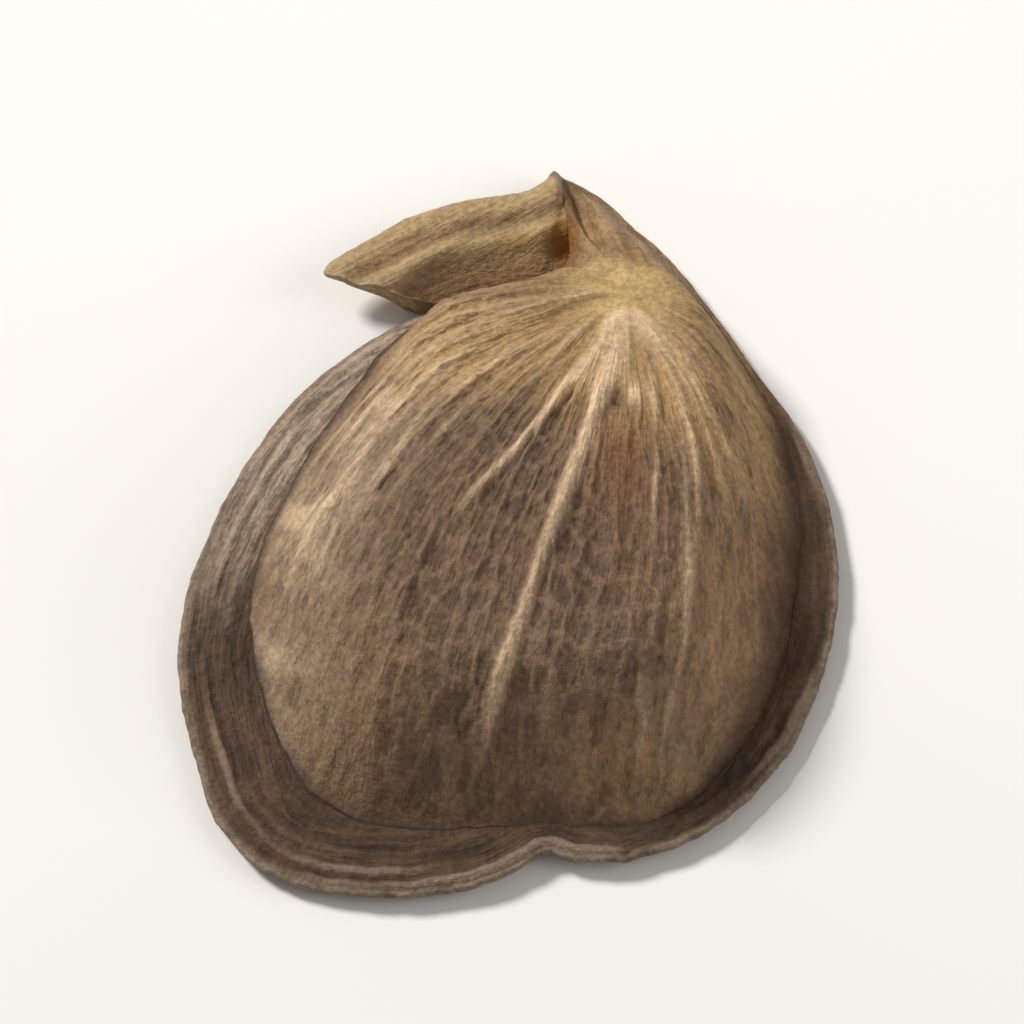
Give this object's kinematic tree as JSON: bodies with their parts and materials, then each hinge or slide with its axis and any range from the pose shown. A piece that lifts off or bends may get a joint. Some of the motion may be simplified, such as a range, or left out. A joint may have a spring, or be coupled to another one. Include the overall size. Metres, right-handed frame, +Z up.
{
  "type": "night-flowering jasmine seed",
  "caption": "Dry flat-backed half capsule of night-flowering jasmine, lying on its inner face, with a ribbed rounded outer wall, a thin rim and a pointed base.",
  "frame": {"origin": "on the resting surface, under the middle of the seed's box", "axes": "+Z up out of the ribbed outer wall, +Y along the seed towards its pointed base, +X across it"},
  "size_m": [0.0114, 0.0146, 0.003],
  "materials": {
    "dry_husk": "matte, finely ribbed, grey-brown to tan"
  },
  "bodies": {
    "root": {"seed": "dry_husk"}
  },
  "joints": []
}
